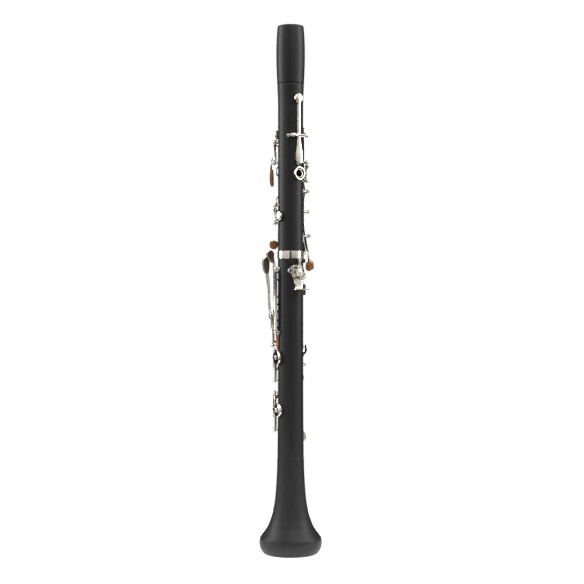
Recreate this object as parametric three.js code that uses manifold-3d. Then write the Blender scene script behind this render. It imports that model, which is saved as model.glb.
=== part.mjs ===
// A B-flat clarinet without its mouthpiece: barrel, upper joint, lower joint and bell, with 19 keys.
// Units are millimetres. The bore lies on +Z, and the origin is the centre of the bell's rim, which it
// stands on.
// Places are polar: a bearing in degrees, a distance from the bore's axis and a height above the rim.
// Bearings: 0 is the player's left, 90 the back with the thumb hole, 180 the player's right, 270 the front.
import * as THREE from "three";
import { mergeVertices } from "three/addons/utils/BufferGeometryUtils.js";
import Module from "manifold-3d";

const wasm = await Module();
wasm.setup();

// ---------------------------------------------------------------- driving dimensions
const BELL_TOP = 107; // height of each seam between the sections
const LOWER_TOP = 341;
const UPPER_TOP = 529;
const TOTAL = 595;
const BORE = 7.4; // bore radius in barrel and upper joint
const UPPER_R = 14.2; // outer radius of each joint
const LOWER_R = 14.3;
const SEAT_TOP = 15.2; // how far the flat tone hole seats stand from the axis
const CHIMNEY_TOP = 16.6; // the same for the raised finger holes
const TENON_R = 11.2;
const SOCKET_R = 12.3;
const TENON_LENGTH = 15;
const RING_HEIGHT = 8.5; // metal ring round the lower joint's socket
const GAP = 0.3; // clearance between pieces that touch
const SEGMENTS = 28; // round the body
const ROD_R = 0.95; // steel pivot rods
const TUBE_R = 2.0; // key tubes that turn on them
const TUBE_BORE = 1.28;
const POST_R = 2.3; // ball head of a post
const STEM_R = 1.25;
const HINGE_R = 18.3; // usual distance of a rod from the axis
const CUP_RISE = 2.6; // a cup's top above its pad
const PAD_DROP = 0.6; // how far a pad stands out of its cup
const ARM_T = 0.75; // half thickness of key arms
const FINENESS = 0.04; // detail finer than this is dropped

// ---------------------------------------------------------------- places and directions
const radians = (degrees) => (degrees * Math.PI) / 180;
const outward = (bearing) => new THREE.Vector3(Math.cos(radians(bearing)), Math.sin(radians(bearing)), 0);
const sideways = (bearing) => outward(bearing + 90);
const UP = new THREE.Vector3(0, 0, 1);
const at = (bearing, radius, height) => outward(bearing).multiplyScalar(radius).setZ(height);

// ---------------------------------------------------------------- solids
function solid(geometry) {
  const bare = geometry.index ? geometry.toNonIndexed() : geometry.clone();
  for (const name of Object.keys(bare.attributes)) if (name !== "position") bare.deleteAttribute(name);
  const merged = mergeVertices(bare, 1e-4);
  const made = new wasm.Manifold(
    new wasm.Mesh({
      numProp: 3,
      vertProperties: merged.attributes.position.array,
      triVerts: new Uint32Array(merged.index.array),
    }),
  );
  if (made.volume() < 0) throw new Error("a shape is inside out");
  return made;
}

function geometryOf(made) {
  const mesh = made.simplify(FINENESS).getMesh();
  return new THREE.BufferGeometry()
    .setAttribute("position", new THREE.BufferAttribute(new Float32Array(mesh.vertProperties), 3))
    .setIndex(new THREE.BufferAttribute(new Uint32Array(mesh.triVerts), 1));
}

const join = (...parts) => parts.flat().reduce((all, part) => all.add(part));

// Turns a shape whose axis is Z so that its axis runs along a direction, and puts its origin at a point.
function aim(geometry, point, direction, spin = 0) {
  const turn = new THREE.Quaternion().setFromUnitVectors(UP, direction.clone().normalize());
  geometry.rotateZ(spin).applyQuaternion(turn).translate(point.x, point.y, point.z);
  return geometry;
}

// A turned piece: pairs of radius and height that run up its outside, closed on the axis or on themselves.
function turned(profile, segments = SEGMENTS) {
  const points = profile.map(([r, z]) => new THREE.Vector2(r, z));
  return new THREE.LatheGeometry(points, segments).rotateX(Math.PI / 2);
}

function rod(from, to, radius, sides = 8) {
  const along = to.clone().sub(from);
  const shape = new THREE.CylinderGeometry(radius, radius, along.length(), sides).rotateX(Math.PI / 2);
  return solid(aim(shape, from.clone().add(to).multiplyScalar(0.5), along));
}

function ball(centre, radius) {
  return solid(new THREE.SphereGeometry(radius, 7, 4).translate(centre.x, centre.y, centre.z));
}

// A bar that runs through stations {p, w, t, up}: its half width w lies across the path and its half
// thickness t along the direction up. Corners are cut, so the section has eight sides.
const SECTION = [[1, 0.55], [0.7, 1], [-0.7, 1], [-1, 0.55], [-1, -0.55], [-0.7, -1], [0.7, -1], [1, -0.55]];
function bar(stations) {
  const rings = stations.map((s, i) => {
    const before = stations[Math.max(i - 1, 0)].p;
    const after = stations[Math.min(i + 1, stations.length - 1)].p;
    const path = after.clone().sub(before).normalize();
    const up = s.up.clone().addScaledVector(path, -s.up.dot(path)).normalize();
    const across = new THREE.Vector3().crossVectors(up, path);
    return SECTION.map(([x, y]) =>
      s.p.clone().addScaledVector(across, x * s.w).addScaledVector(up, y * s.t));
  });
  const sides = SECTION.length;
  const corners = rings.flat().concat([stations[0].p, stations[stations.length - 1].p]);
  const faces = [];
  const first = corners.length - 2;
  for (let k = 0; k < sides; k++) {
    const next = (k + 1) % sides;
    for (let i = 0; i < rings.length - 1; i++) {
      const [a, b] = [i * sides + k, i * sides + next];
      faces.push(a, b, b + sides, a, b + sides, a + sides);
    }
    const top = (rings.length - 1) * sides;
    faces.push(first, next, k, first + 1, top + k, top + next);
  }
  const shape = new THREE.BufferGeometry()
    .setAttribute("position", new THREE.Float32BufferAttribute(corners.flatMap((c) => [c.x, c.y, c.z]), 3))
    .setIndex(faces);
  return solid(shape);
}

// Stations written as [bearing, radius, height, half width, half thickness], with the bar's flat side
// facing outwards, or facing a bearing of its own.
const strip = (rows, facing = null) =>
  bar(rows.map(([b, r, z, w, t = ARM_T]) =>
    ({ p: at(b, r, z), w, t, up: outward(facing === null ? b : facing) })));

// ---------------------------------------------------------------- key fittings
// A pad cup seen from its tone hole: its pad's face is at the seat. A solid pad is part of it unless
// the pad is a piece of its own, which needs a recess.
function cup(bearing, height, radius, ownPad, seat = SEAT_TOP) {
  const floor = seat + GAP;
  const wall = 0.7;
  const outer = [[radius, PAD_DROP], [radius, CUP_RISE - 0.7], [radius * 0.7, CUP_RISE], [0, CUP_RISE]];
  const under = ownPad
    ? [[0, 1.7], [radius - wall, 1.7], [radius - wall, PAD_DROP]]
    : [[0, 0], [radius - wall, 0], [radius - wall, PAD_DROP]];
  const shape = turned([...under, ...outer], radius > 6 ? 16 : 10);
  return solid(aim(shape, at(bearing, floor, height), outward(bearing)));
}

function padDisc(bearing, height, radius, seat = SEAT_TOP) {
  const rim = radius - 0.7 - GAP;
  const shape = turned([[0, 0], [rim - 0.4, 0], [rim, 0.4], [rim, 1.4], [0, 1.4]], 20);
  return solid(aim(shape, at(bearing, seat + GAP, height), outward(bearing)));
}

// The ring round a finger hole. At rest it stands above the chimney's top.
const RING_IN = 5.95;
const RING_OUT = 7.3;
const ring = (bearing, height, inner = RING_IN, outer = RING_OUT, low = CHIMNEY_TOP - 0.7) =>
  solid(aim(turned([[inner, 0], [outer, 0], [outer, 1.2], [inner, 1.2], [inner, 0]], 14),
    at(bearing, low, height), outward(bearing)));

// ---------------------------------------------------------------- hinges
// A hinge is the line that a key turns on: along the body at a bearing, or across it.
const along = (bearing, low, high, radius = HINGE_R) => ({
  from: at(bearing, radius, low),
  to: at(bearing, radius, high),
  foot: outward(bearing),
  bearing,
});
const across = (bearing, height, half, radius = HINGE_R, shift = 0) => ({
  from: at(bearing, radius, height).addScaledVector(sideways(bearing), shift - half),
  to: at(bearing, radius, height).addScaledVector(sideways(bearing), shift + half),
  foot: outward(bearing),
  bearing,
});

const middle = (hinge) => hinge.from.clone().add(hinge.to).multiplyScalar(0.5);

// The steel rod runs through the tube, from post to post. The tube keeps clear of both.
const POST_PITCH = POST_R + GAP; // from a tube's end to the middle of its post
function tube(hinge) {
  return rod(hinge.from, hinge.to, TUBE_R, 8);
}
const tubeBore = (hinge) => {
  const run = hinge.to.clone().sub(hinge.from).normalize();
  const [low, high] = [hinge.from.clone().addScaledVector(run, -6), hinge.to.clone().addScaledVector(run, 6)];
  return rod(low, high, TUBE_BORE, 8);
};

// The joints' outside, which the foot of a post stands just clear of.
const bodyRadius = (z) => (z > LOWER_TOP ? UPPER_R : LOWER_R + Math.max(0, 184 - z) * 0.0067);

function post(place, foot) {
  const inward = place.dot(foot);
  const side = place.clone().addScaledVector(foot, -inward).setZ(0).length();
  const ground = Math.sqrt(bodyRadius(place.z) ** 2 - Math.max(side - STEM_R, 0) ** 2) + GAP;
  const base = place.clone().addScaledVector(foot, ground - inward);
  return [ball(place, POST_R), rod(base, place, STEM_R, 6)];
}

// A rod with the two posts that carry it, for one key or for keys that share the rod. Each post stands
// next to a tube, or further off where another key passes under the rod.
function posts(hinges, before = POST_PITCH, after = POST_PITCH) {
  const [first, last] = [hinges[0], hinges[hinges.length - 1]];
  const run = first.to.clone().sub(first.from).normalize();
  const low = first.from.clone().addScaledVector(run, -before);
  const high = last.to.clone().addScaledVector(run, after);
  return join(rod(low, high, ROD_R, 6), post(low, first.foot), post(high, first.foot));
}

// A key is made with its pad shut, its tube is bored, and it is then opened to where it stands.
function key(hinge, parts, open = 0) {
  const made = join(tube(hinge), parts).subtract(tubeBore(hinge));
  if (!open) return made;
  const run = hinge.to.clone().sub(hinge.from).normalize();
  const turn = new THREE.Matrix4().makeRotationAxis(run, radians(open));
  const centre = middle(hinge);
  const move = new THREE.Matrix4().makeTranslation(centre.x, centre.y, centre.z)
    .multiply(turn).multiply(new THREE.Matrix4().makeTranslation(-centre.x, -centre.y, -centre.z));
  return made.transform(move.elements);
}

// ---------------------------------------------------------------- body sections
// Holes that a cup shuts: bearing, height, radius. Finger holes come with a chimney and have a ring or none.
const UPPER_PADS = [[85, 512, 2.6], [178, 477, 2.9], [187.5, 460, 2.9], [197, 436, 2.6], [210, 400, 2.6],
  [270, 482, 3.0], [296, 473, 3.0], [256, 415, 2.8], [357, 380, 3.4], [258, 357, 2.4]];
const LOWER_PADS = [[256, 299, 2.8], [196, 272, 2.9], [345, 221, 5.9], [194, 197.5, 3.7],
  [352, 162, 5.2], [196, 130, 5.4]];
const UPPER_FINGERS = [[270, 432], [270, 398], [270, 372]];
const THUMB_HOLE = [86.5, 427.7];
const BUSHING_R = 5.3;
const LOWER_FINGERS = [[270, 313], [270, 285], [270, 258]];
const FINGER_HOLE = 3.9;
const FINGER_CHIMNEY = 5.5;

function drum(bearing, height, radius, from, to, sides = 12) {
  return rod(at(bearing, from, height), at(bearing, to, height), radius, sides);
}

// Adds the seats and chimneys, then opens the bore and every tone hole.
function section(profile, bore, pads, fingers) {
  let made = solid(turned(profile));
  for (const [b, z, r] of pads) made = made.add(drum(b, z, r + 1.1, 9, SEAT_TOP));
  for (const [b, z] of fingers) made = made.add(drum(b, z, FINGER_CHIMNEY, 9, CHIMNEY_TOP));
  made = made.subtract(solid(turned(bore)));
  for (const [b, z, r] of pads) made = made.subtract(drum(b, z, r, 5, 20));
  for (const [b, z] of fingers) made = made.subtract(drum(b, z, FINGER_HOLE, 5, 20));
  return made;
}

// A tenon keeps a groove for its cork between two collars.
const CORK_DEEP = 1.0;
const tenonUp = (z, r) => [[r, z], [r, z + 3], [r - CORK_DEEP, z + 3], [r - CORK_DEEP, z + 12.5],
  [r, z + 12.5], [r, z + TENON_LENGTH], [0, z + TENON_LENGTH]];
const tenonDown = (z, r) => tenonUp(0, r).map(([radius, h]) => [radius, z - h]).reverse();

function tenonCork(seam, direction, r) {
  const inner = r - CORK_DEEP + 0.12;
  const outer = r + SOCKET_R - TENON_R - 0.12;
  const [low, high] = direction > 0 ? [seam + 3.15, seam + 12.35] : [seam - 12.35, seam - 3.15];
  return solid(turned([[inner, low], [outer - 0.3, low], [outer, low + 0.5], [outer, high - 0.5],
    [outer - 0.3, high], [inner, high], [inner, low]]));
}

function barrel() {
  const low = UPPER_TOP + GAP;
  const outside = [[0, low], [15.2, low], [15.6, low + 6], [16.15, 557], [16.15, 571], [15.6, 584],
    [14.9, TOTAL - 0.8], [14.3, TOTAL], [0, TOTAL]];
  const inside = [[0, low - 1], [SOCKET_R, low - 1], [SOCKET_R, low + TENON_LENGTH + 0.6],
    [BORE, low + TENON_LENGTH + 0.6], [BORE, TOTAL - 16], [11.4, TOTAL - 16], [11.4, TOTAL + 1],
    [0, TOTAL + 1]];
  return solid(turned(outside)).subtract(solid(turned(inside)));
}

function upperJoint() {
  const low = LOWER_TOP + GAP;
  const outside = [...tenonDown(low, TENON_R), [UPPER_R - 0.3, low], [UPPER_R, low + 0.5], [UPPER_R, 508],
    [14.8, 522], [15.1, UPPER_TOP], ...tenonUp(UPPER_TOP, TENON_R)];
  const bore = [[0, 300], [BORE, 300], [BORE, 560], [0, 560]];
  const [b, z] = THUMB_HOLE;
  return section(outside, bore, UPPER_PADS, UPPER_FINGERS)
    .subtract(drum(b, z, FINGER_HOLE, 5, 20)).subtract(drum(b, z, BUSHING_R + 0.2, 8.6, 20, 20));
}

// The metal sleeve let into the thumb hole.
function thumbBushing() {
  const wall = [[FINGER_HOLE, 0], [BUSHING_R, 0], [BUSHING_R, 8], [FINGER_HOLE, 8], [FINGER_HOLE, 0]];
  const sleeve = turned(wall, 16);
  return solid(aim(sleeve, at(THUMB_HOLE[0], 8.8, THUMB_HOLE[1]), outward(THUMB_HOLE[0])));
}

// The socket ring is let into the lower joint, which is cut back to take it.
const RING_SEAT = 13.5;
const LOWER_TENON = 12.2;
function lowerJoint() {
  const low = BELL_TOP + GAP;
  const cut = LOWER_TOP - RING_HEIGHT - GAP;
  const outside = [...tenonDown(low, LOWER_TENON), [14.9, low], [14.7, 124], [LOWER_R, 184], [LOWER_R, cut],
    [RING_SEAT, cut], [RING_SEAT, LOWER_TOP], [0, LOWER_TOP]];
  const bore = [[0, 80], [9.8, 80], [9.4, BELL_TOP], [8.2, 150], [BORE, 195], [BORE, LOWER_TOP - 15.8],
    [SOCKET_R, LOWER_TOP - 15.8], [SOCKET_R, 350], [0, 350]];
  return section(outside, bore, LOWER_PADS, LOWER_FINGERS);
}

function socketRing() {
  const [inner, low] = [RING_SEAT + 0.15, LOWER_TOP - RING_HEIGHT];
  return solid(turned([[inner, low], [14.5, low], [14.7, low + 0.6], [14.7, LOWER_TOP - 0.6],
    [14.5, LOWER_TOP], [inner, LOWER_TOP], [inner, low]]));
}

function bell() {
  const outside = [[0, 0], [29.7, 0], [33.2, 4], [35.2, 8], [35.6, 12], [35, 17], [32.2, 21], [28.5, 26],
    [26.1, 30], [24, 35], [22.4, 39], [19.9, 48], [18.1, 57], [16.6, 71], [15.8, 84.5], [15.3, 94],
    [15, BELL_TOP], [0, BELL_TOP]];
  const inside = [[0, -1], [27.5, -1], [27.5, 0], [26, 6], [23.8, 12], [20.8, 20], [18, 30], [15.3, 45],
    [13, 65], [11.5, 85], [11, 91], [13.3, 91], [13.3, 108], [0, 108]];
  return solid(turned(outside, 36)).subtract(solid(turned(inside, 36)));
}

// ---------------------------------------------------------------- thumb rest
const REST = 86.5;

// The plate is a piece of a sleeve cut to the outline of a shield.
const SHIELD = [[0, 324.8], [5.1, 324.7], [6.8, 324.1], [9, 322], [10.9, 319.8], [10.9, 317.6], [9, 314.6],
  [6.8, 310.9], [5.2, 305.3], [3.5, 300.2], [1.8, 299.5], [0, 299.5]];
function thumbRestPlate() {
  const left = SHIELD.slice(1, -1).reverse().map(([x, z]) => [-x, z]);
  const outline = new THREE.Shape([...SHIELD, ...left].map(([x, z]) => new THREE.Vector2(x, z)));
  const prism = new THREE.ExtrudeGeometry(outline, { depth: 20, bevelEnabled: false })
    .rotateX(Math.PI / 2).rotateZ(radians(REST + 90));
  const sleeve = turned([[14.75, 295], [15.85, 295], [15.85, 330], [14.75, 330], [14.75, 295]]);
  const block = strip([[REST, 17.2, 319.6, 3.2, 1.7], [REST, 17.2, 324, 3.2, 1.7]]);
  const stem = strip([[REST, 17.6, 322.8, 1.7, 1], [REST, 17.6, 331.5, 1.4, 1]]);
  return join(solid(prism).intersect(solid(sleeve)), block, stem);
}

const HOOK_TRAVEL = 4;
const PIN_R = 1.8;
const PIN_OUT = 26.4;
function thumbHook() {
  const rise = (r, z, w, lean) =>
    ({ p: at(REST, r, z), w, t: 0.65, up: outward(REST).multiplyScalar(1 - lean).addScaledVector(UP, lean) });
  const slide = bar([rise(16.8, 318.2, 4.6, 0), rise(16.8, 301.2, 4.8, 0), rise(17.2, 299.4, 5.6, 0.3),
    rise(18.4, 298.1, 8.2, 0.7), rise(20.2, 297.7, 8.8, 1), rise(24, 297.7, 8.5, 1), rise(27.5, 297.7, 7, 1),
    rise(29.8, 297.7, 4.6, 1)]);
  const slot = strip([[REST, 16.8, 312.6 - 1.9, 1.9, 2], [REST, 16.8, 312.6 + 1.9 + HOOK_TRAVEL, 1.9, 2]]);
  const pinHole = rod(at(REST, PIN_OUT, 290), at(REST, PIN_OUT, 304), PIN_R + 0.25, 10);
  return slide.subtract(slot).subtract(pinHole);
}

function clampScrew() {
  const head = drum(REST, 312.6, 4.7, 18.2, 24.4, 20);
  const cut = strip([[REST, 24.6, 306, 0.5, 0.9], [REST, 24.6, 320, 0.5, 0.9]]);
  return join(head.subtract(cut), drum(REST, 312.6, 1.6, 16.1, 19, 10));
}

const stopPin = () => rod(at(REST, PIN_OUT, 291.3), at(REST, PIN_OUT, 303.4), PIN_R, 10);
const leverBumper = () => strip([[342, 15.65, 232.5, 1.5, 0.8], [342, 15.65, 246, 1.5, 0.8]]);
const guideBlock = () => strip([[121, 15.9, 327.6, 2.2, 1.3], [121, 15.9, 332.2, 2.2, 1.3]]);

// ---------------------------------------------------------------- hinges of the keys
const HINGES = {
  register: across(85, 470.4, 7, 17.3),
  thumb_ring: along(128, 422.4, 437.9, 18.8),
  throat_a: across(270, 462, 3),
  throat_g_sharp: along(322, 443.1, 461.4),
  upper_rings: along(232, 352, 443),
  e_flat_sliver: along(336, 375, 389.4),
  c_sharp_g_sharp: along(279, 347, 361, 17.3),
  lower_rings: along(228, 250, 327),
  b_f_sharp_sliver: along(213, 266, 278),
  lh_f_sharp_lever: along(345, 252, 318),
  lh_e_lever: along(322, 237, 270, 20.5),
  f_sharp_key: along(312, 197, 226),
  f_key: along(312, 141, 178),
  e_key: along(222, 141, 200),
  a_flat_key: across(194, 212, 2),
  side_1: across(170, 408.5, 1.6, 18.4, -1.75),
  side_2: across(170, 408.5, 1.6, 18.4, 1.75),
  side_3: across(191, 385.7, 1.6, 17.6, -0.55),
  side_4: across(191, 385.7, 1.6, 17.6, 2.95),
};

// ---------------------------------------------------------------- keys, each from its cups, arms and touches
const PRESS = 6; // how far a ring key stands open, in degrees
const KEYS = {
  register: () => [cup(85, 512, 5.2, false), strip([[85, 17.7, 512, 2], [85, 17.7, 505, 1.8],
    [85, 17.4, 470, 1.8], [85, 17.6, 463, 2.4], [85, 18.1, 452, 4.6], [85, 18.1, 444, 4.9],
    [85, 17.7, 437.2, 2.4]])],
  thumb_ring: () => [ring(...THUMB_HOLE, 5.95, 7.5),
    strip([[128, 18.8, 427.7, 2, 0.6], [107.6, 17.6, 427.7, 2, 0.5]])],
  throat_a: () => [cup(270, 482, 5, false), strip([[270, 17.6, 482, 1.8], [270, 18, 474, 1.5],
    [270, HINGE_R, 462, 1.8], [270, 18.3, 452, 3], [270, 17.8, 442, 3.4]])],
  throat_g_sharp: () => [cup(296, 473, 5, false),
    strip([[322, HINGE_R, 455, 1.5], [309, 18.1, 460, 1.5], [300, 17.9, 470, 1.5], [296, 17.6, 474, 1.5]]),
    strip([[322, 18.6, 449, 1.4], [322, 21.4, 444.5, 1.3], [322, 22, 439, 1.6]]),
    strip([[322, 22, 440, 1.5], [322, 22.1, 433, 2.6], [322, 22.1, 424, 3.8], [322, 21.8, 417, 3.4],
      [322, 21.5, 413.6, 1.6]], 300)],
  upper_rings: () => [...[432, 398].flatMap((z) => [ring(270, z),
    strip([[232, HINGE_R, z, 1.8, 0.6], [248.4, 17.6, z, 1.8, 0.5]])]), cup(256, 415, 4.8, false),
    strip([[232, HINGE_R, 415, 1.4], [256, 17.7, 415, 1.4]]),
    strip([[232, HINGE_R, 358, 1.5], [233, 22.7, 352, 1.5], [236, 23.4, 346, 1.6], [238, 23.4, 339, 1.6]])],
  e_flat_sliver: () => [cup(357, 380, 5.65, false), strip([[336, HINGE_R, 380, 1.5], [357, 17.7, 380, 1.5]]),
    strip([[336, HINGE_R, 382, 1.6], [318, 19, 384, 1.8], [298, 18.9, 385.5, 2.4], [282, 18.2, 385.5, 2.4],
      [272, 18, 385.5, 1.6]])],
  c_sharp_g_sharp: () => [cup(258, 357, 3.9, false),
    strip([[279, 17.3, 357, 1.4], [270, 18.1, 357, 1.4], [258, 17.7, 357, 1.4]]),
    strip([[279, 17.3, 350, 1.6], [285, 18.8, 350, 1.6], [293, 19.6, 349, 1.8], [299, 20.3, 348, 1.8]]),
    strip([[303, 21.2, 353, 3], [302, 21, 350.6, 4.6], [300, 20.6, 347, 4.8], [297.5, 20, 343.2, 3]], 250)],
  side_1: () => [cup(178, 477, 4.6, false), strip([[178, 17.6, 479, 1.3], [173, 17.3, 474.5, 1.3],
    [167, 16.7, 470.5, 1.3], [164.2, 16.3, 467, 1.3], [164.2, 16.3, 420, 1.3], [164.2, 18.1, 408.5, 1.3],
    [164.2, 16.1, 398, 1.3], [164.2, 16.1, 376, 1.3], [160, 17, 362, 1.3], [156, 18, 355, 1.3]]),
    strip([[157, 17.8, 357, 1.2, 0.8], [153, 18.8, 349, 1.5, 1], [147, 20.6, 336, 1.6, 1],
    [145, 21.2, 328, 1.6, 0.8]], 205), strip([[145, 21.2, 329.5, 2.4], [144.3, 21.4, 326.5, 4],
    [144, 21.4, 322, 4.3], [144, 21.2, 318.2, 3]], 205)],
  side_2: () => [cup(187.5, 460, 4.6, false), strip([[187.5, 17.6, 461, 1.3], [183.5, 17.3, 455, 1.3],
    [177.5, 16.7, 449, 1.3], [175.8, 16.3, 443, 1.3], [175.8, 16.3, 420, 1.3], [175.8, 18.1, 408.5, 1.3],
    [175.8, 16.1, 398, 1.3], [175.8, 16.1, 376, 1.3], [172, 17.2, 362, 1.3], [169.4, 18.2, 355, 1.3]]),
    strip([[170, 18, 357, 1.2, 0.8], [166.4, 19.6, 348, 1.5, 1], [161, 22.4, 336, 1.6, 1],
    [159.4, 23.4, 329, 1.6, 0.8]], 208), strip([[159.4, 23.4, 330.5, 2.4], [158.6, 23.8, 327, 3.6],
    [158.6, 24, 323, 3.8], [158.6, 23.7, 319.4, 2.6]], 208)],
  side_3: () => [cup(197, 436, 4.2, false), strip([[197, 17.6, 437, 1.3], [193, 17.2, 430, 1.3],
    [189.2, 16.3, 423, 1.3], [189.2, 16.1, 400, 1.3], [189.2, 17.4, 385.7, 1.3], [191, 17.2, 370, 1.3],
    [192, 18, 358, 1.4]]), strip([[192, 18, 359, 1.4], [188, 19.2, 350, 2.6], [185, 19.8, 342, 3],
    [184, 19.6, 336.5, 2.2]], 202)],
  side_4: () => [cup(210, 400, 4.2, false), strip([[210, 17.6, 401, 1.3], [204, 17.2, 394, 1.3],
    [200.5, 17.4, 385.7, 1.3], [201, 17.4, 370, 1.3], [204, 18, 360, 1.5]]), strip([[204, 18, 361, 1.5],
    [208, 18.7, 353, 2.6], [209, 19, 346, 3], [209, 18.7, 340, 2.2]], 214)],
  lower_rings: () => [...[313, 285, 258].flatMap((z) => [ring(270, z),
    strip([[228, HINGE_R, z, 1.8, 0.6], [248.4, 17.6, z, 1.8, 0.5]])]), cup(256, 299, 4.8, false),
    strip([[228, HINGE_R, 299, 1.4], [256, 17.7, 299, 1.4]]),
    strip([[228, HINGE_R, 321, 1.5], [230, 21.7, 326, 1.5], [234, 21.4, 334, 1.6], [238, 21.1, 343.5, 1.6]])],
  b_f_sharp_sliver: () => [cup(196, 272, 4.8, false),
    strip([[213, HINGE_R, 272, 1.5], [196, 17.7, 272, 1.5]]),
    strip([[213, HINGE_R, 272, 1.6], [218, 22, 272, 1.8], [229, 22.8, 271.8, 2.2], [240, 20.6, 271.5, 2.4],
      [250, 18.6, 271.5, 1.8]])],
  lh_f_sharp_lever: () => [strip([[345, HINGE_R, 264, 1.6], [343, 21.8, 269, 1.5], [339, 21.8, 274, 1.5],
    [333, 19.6, 281, 1.6]]), strip([[334, 19.8, 279.5, 1.4, 0.9], [331.5, 18.8, 290, 1.7, 0.9],
    [330, 18.8, 318, 1.8, 0.9], [328, 19.5, 329, 2, 0.9]], 240),
    strip([[328, 19.5, 327.5, 2, 0.9], [325, 22.4, 333.5, 4.4, 0.9], [325, 23, 337.5, 5.2, 0.9],
      [325, 22.8, 341.8, 3.2, 0.9]], 262),
    strip([[345, HINGE_R, 255, 1.4], [333, 16.8, 255, 1.4], [320, 16.4, 254, 1.4], [306, 16.4, 246, 1.5],
      [294, 17, 230, 1.8]])],
  lh_e_lever: () => [strip([[322, 20.5, 262, 1.6], [322, 24, 267, 1.5], [322, 24.2, 276, 1.5]]),
    strip([[322, 24, 274, 1.5, 0.9], [321, 25, 300, 1.7, 0.9], [320, 27, 317, 2, 0.9]], 240),
    strip([[320, 26.8, 315, 2.2, 0.9], [320, 27.6, 321, 4.2, 0.9], [320, 28, 328, 4.8, 0.9],
      [320, 27.8, 334, 3, 0.9]], 262), strip([[322, 20.5, 240, 1.4], [305, 20.8, 239, 1.4],
    [280, 20.6, 237, 1.6], [260, 20.2, 235, 2]])],
  f_sharp_key: () => [cup(345, 221, 8.4, true), strip([[312, HINGE_R, 221, 1.6], [319, 19.6, 221, 1.7],
    [330, 19.3, 221, 1.7], [345, 18.1, 221, 1.8]]),
    strip([[312, HINGE_R, 206, 1.6], [290, 18.7, 207, 1.6], [272, 19, 210, 1.7], [260, 20.2, 216, 2]]),
    strip([[260, 20.2, 215, 2], [258, 21.2, 220, 4], [258, 21.4, 226, 4], [258, 21.2, 230, 3]])],
  f_key: () => [cup(352, 162, 7.5, true), strip([[312, HINGE_R, 163, 1.6], [327, 19.6, 163, 1.7],
    [340, 19.1, 162, 1.8], [352, 18.1, 162, 1.8]]),
    strip([[312, HINGE_R, 172, 1.6], [285, 18.6, 176, 1.6], [260, 18.8, 183, 1.6], [242, 19, 193, 1.6],
      [238, 19.6, 206, 1.6], [238, 20.8, 222, 1.8], [240, 21.6, 232, 2.6]]),
    strip([[240, 21.6, 231, 2.4], [241, 22, 235, 3.8], [241, 22, 239, 3.8], [241, 21.6, 242.6, 2.8]])],
  e_key: () => [cup(196, 130, 7.8, false), strip([[222, HINGE_R, 144, 1.6], [212, 18.6, 143.2, 1.6],
    [203, 18.1, 137, 1.8], [196, 17.8, 130, 1.8]]), strip([[222, HINGE_R, 194, 1.6], [221, 22, 199, 1.5],
    [219, 22.6, 207, 1.6], [214, 22.6, 216, 2]]), strip([[214, 22.6, 214, 2], [212, 22.8, 218, 3.8],
    [212, 22.8, 225, 4], [212, 22.6, 228.4, 3]])],
  a_flat_key: () => [cup(194, 197.5, 5.8, false), strip([[194, 17.7, 197.5, 1.6], [194, HINGE_R, 212, 1.8],
    [192, 18.8, 218, 1.8], [186, 20.2, 225, 2]]), strip([[187, 20, 224, 2], [183, 21, 227, 3.4],
    [182, 21.2, 231, 3.8], [182, 21, 235, 2.8]])],
};

// Cork facings under the touches: the same stations as their touch, set inwards along its facing.
const FACINGS = {
  throat_g_sharp: [[322, 434, 22.1, 1.6], [322, 431, 22.1, 2.4], [322, 424, 22.1, 3.4],
    [322, 416.5, 21.8, 2.6]],
  c_sharp_g_sharp: [[303, 352.8, 21.2, 2.8], [302, 350.4, 21, 4.4], [300, 347, 20.6, 4.6],
    [297.7, 343.6, 20, 2.8]],
  side_1: [[144.8, 328.6, 21.3, 2.6], [144.3, 326, 21.4, 3.8], [144, 322, 21.4, 4.1],
    [144, 318.6, 21.2, 2.8]],
  side_2: [[159, 329.6, 23.5, 2.4], [158.6, 327, 23.8, 3.4], [158.6, 323, 24, 3.6],
    [158.6, 319.8, 23.7, 2.4]],
};
const FACING_OF = { throat_g_sharp: 300, c_sharp_g_sharp: 250, side_1: 205, side_2: 208 };
const FACING_T = 0.8;

function facing(name) {
  const side = FACING_OF[name];
  const shift = outward(side).multiplyScalar(-(ARM_T + FACING_T + 0.2));
  return bar(FACINGS[name].map(([b, z, r, w]) =>
    ({ p: at(b, r, z).add(shift), w, t: FACING_T, up: outward(side) })));
}

const POSTS = {
  register: ["register"], thumb_ring: ["thumb_ring"], throat_a: ["throat_a"],
  throat_g_sharp: ["throat_g_sharp"], upper_rings: ["upper_rings"],
  e_flat_sliver: ["e_flat_sliver"], c_sharp_g_sharp: ["c_sharp_g_sharp"],
  side_upper: ["side_1", "side_2"], side_lower: ["side_3", "side_4"], lower_rings: ["lower_rings"],
  b_f_sharp_sliver: ["b_f_sharp_sliver"], lh_f_sharp_lever: ["lh_f_sharp_lever"], lh_e_lever: ["lh_e_lever"],
  f_sharp_key: ["f_sharp_key"], f_key: ["f_key"], e_key: ["e_key"], a_flat_key: ["a_flat_key"],
};
// Rods that reach over another key's arm: how far each post stands from the tube next to it.
const POST_REACH = { side_upper: [POST_PITCH, 4.85], side_lower: [7.95, POST_PITCH] };
// Keys that stand open at rest, and by how many degrees their pad has turned up off its hole.
const OPEN = { upper_rings: -PRESS, lower_rings: -PRESS, thumb_ring: PRESS, e_key: 8 };

// ---------------------------------------------------------------- surfaces
const surface = (color, metalness, roughness) => ({ color, metalness, roughness });
const WOOD = surface(0x1d1c1f, 0, 0.42);
const SILVER = surface(0xd9d6cf, 1, 0.18);
const STEEL = surface(0x9b9a98, 1, 0.3);
const CORK = surface(0xb07846, 0, 0.85);
const FACE = surface(0x8c4e22, 0, 0.6);
const PAD = surface(0xe6ddc8, 0, 0.9);
const BLACK = surface(0x151517, 0, 0.55);

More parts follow.
